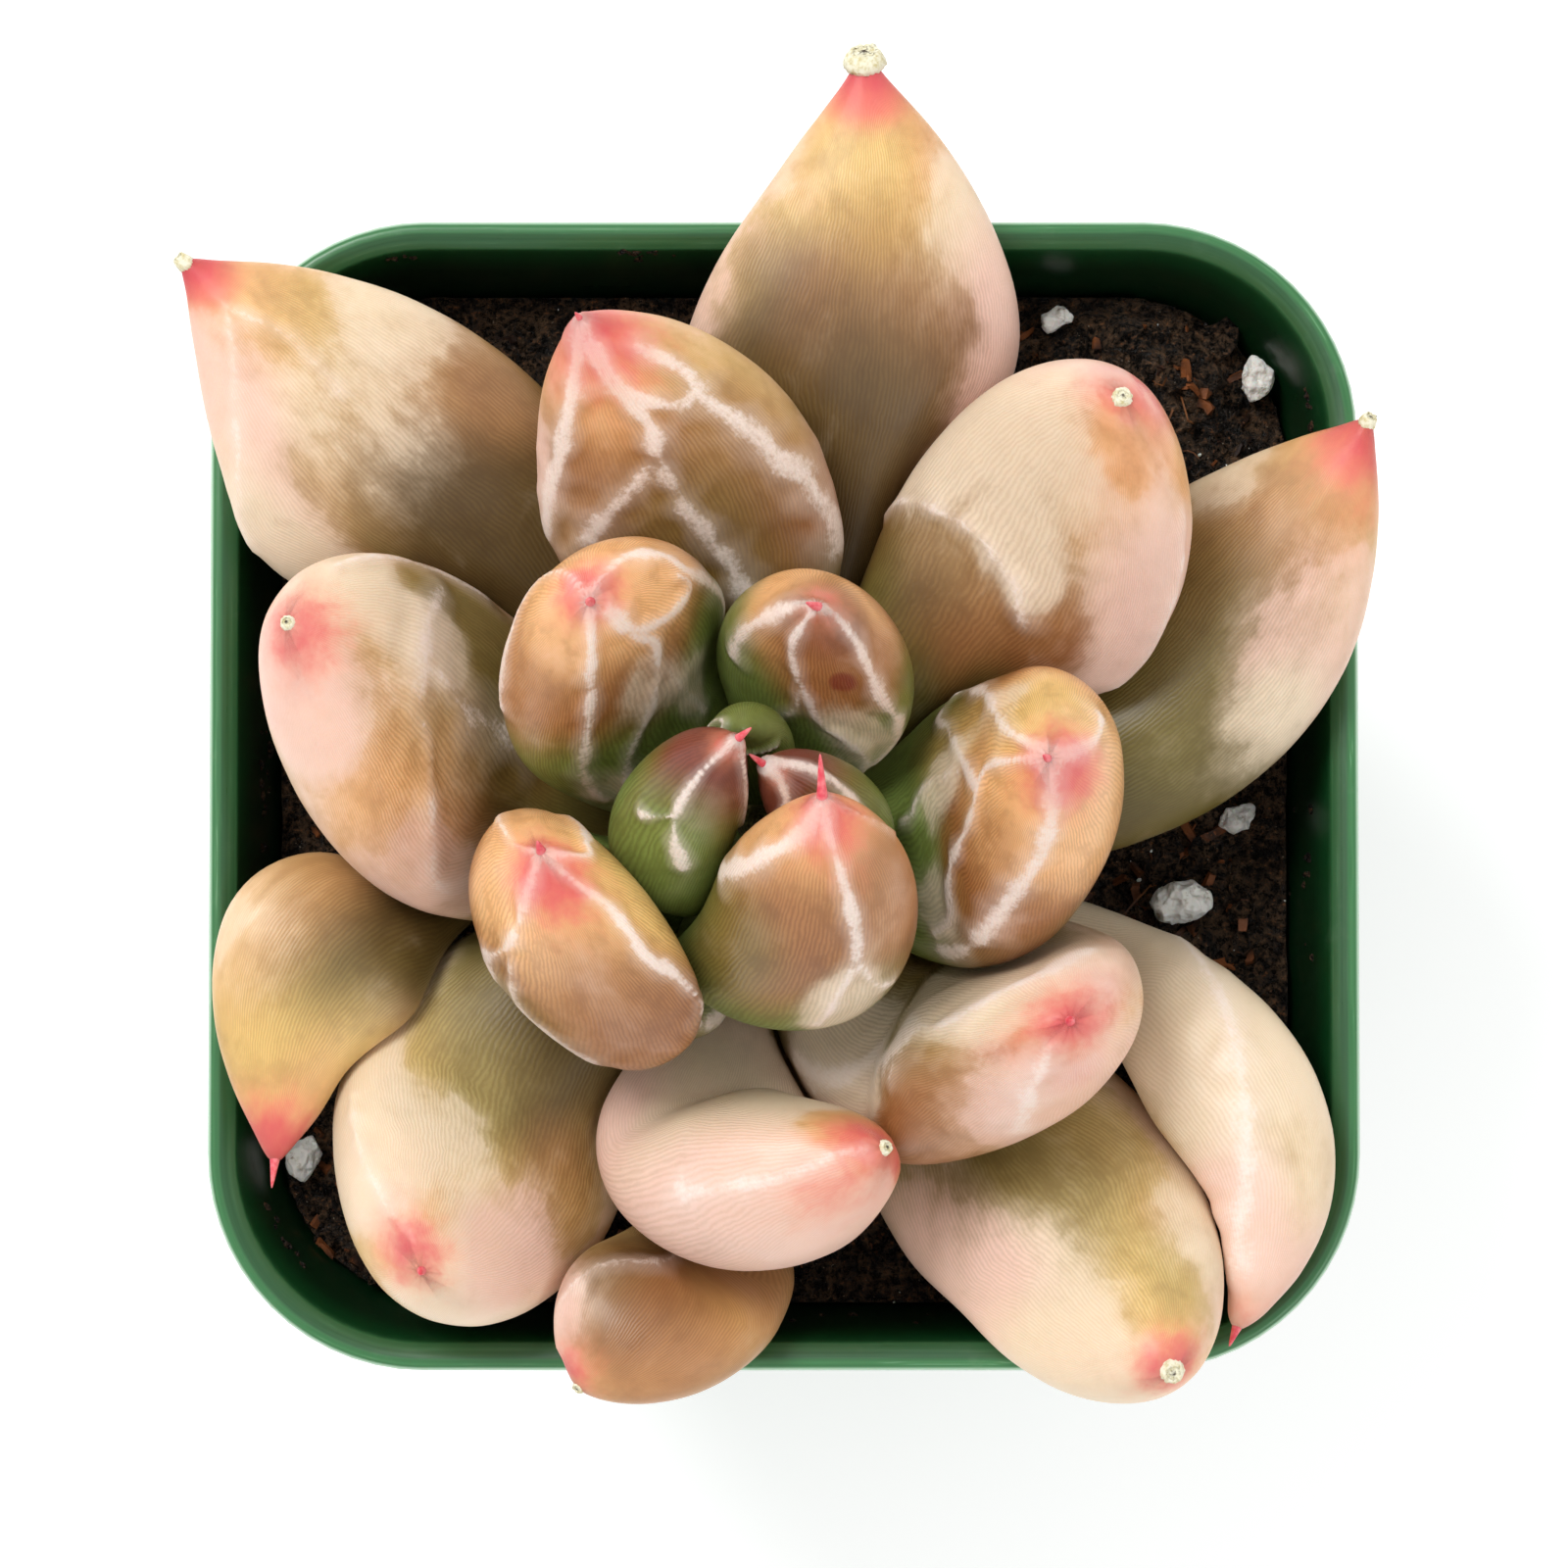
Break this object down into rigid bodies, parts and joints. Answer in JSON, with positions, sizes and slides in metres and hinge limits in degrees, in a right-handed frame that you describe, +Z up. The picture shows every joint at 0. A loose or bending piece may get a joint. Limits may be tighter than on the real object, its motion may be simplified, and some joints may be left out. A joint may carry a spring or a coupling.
{
  "type": "potted succulent",
  "caption": "Rosette succulent with plump, pointed, bloom-dusted leaves growing from a short stem in the soil of a tapered square nursery pot",
  "frame": {"origin": "centre of the pot's flat underside, where it stands on a shelf", "axes": "+Z up out of the pot; +X and +Y square to the pot's sides, with the longest leaf pointing along +Y"},
  "size_m": [0.0655, 0.0737, 0.0805],
  "materials": {
    "green_plastic": "satin",
    "potting_soil": "matte",
    "stem_skin": "matte",
    "heart_leaf_skin": "satin",
    "inner_leaf_skin": "satin",
    "middle_leaf_skin": "satin",
    "outer_leaf_skin": "satin",
    "perlite_white": "matte"
  },
  "bodies": {
    "root": {"pot": "green_plastic", "soil": "potting_soil", "stem": "stem_skin", "leaf_heart_n": "heart_leaf_skin", "leaf_heart_w": "heart_leaf_skin", "leaf_heart_e": "heart_leaf_skin", "leaf_inner_s": "inner_leaf_skin", "leaf_inner_n": "inner_leaf_skin", "leaf_inner_nw": "inner_leaf_skin", "leaf_inner_sw": "inner_leaf_skin", "leaf_inner_e": "inner_leaf_skin", "leaf_middle_n": "middle_leaf_skin", "leaf_middle_ne": "middle_leaf_skin", "leaf_middle_w": "middle_leaf_skin", "leaf_middle_se": "middle_leaf_skin", "leaf_middle_s": "middle_leaf_skin", "leaf_lower_sw": "outer_leaf_skin", "leaf_lower_se": "outer_leaf_skin", "leaf_outer_se": "outer_leaf_skin", "leaf_outer_e": "outer_leaf_skin", "leaf_outer_n": "outer_leaf_skin", "leaf_outer_nw": "outer_leaf_skin", "leaf_outer_w": "outer_leaf_skin", "leaf_outer_s": "outer_leaf_skin", "perlite_ne": "perlite_white", "perlite_e": "perlite_white", "perlite_e_small": "perlite_white", "perlite_n": "perlite_white", "perlite_sw": "perlite_white"}
  },
  "joints": []
}
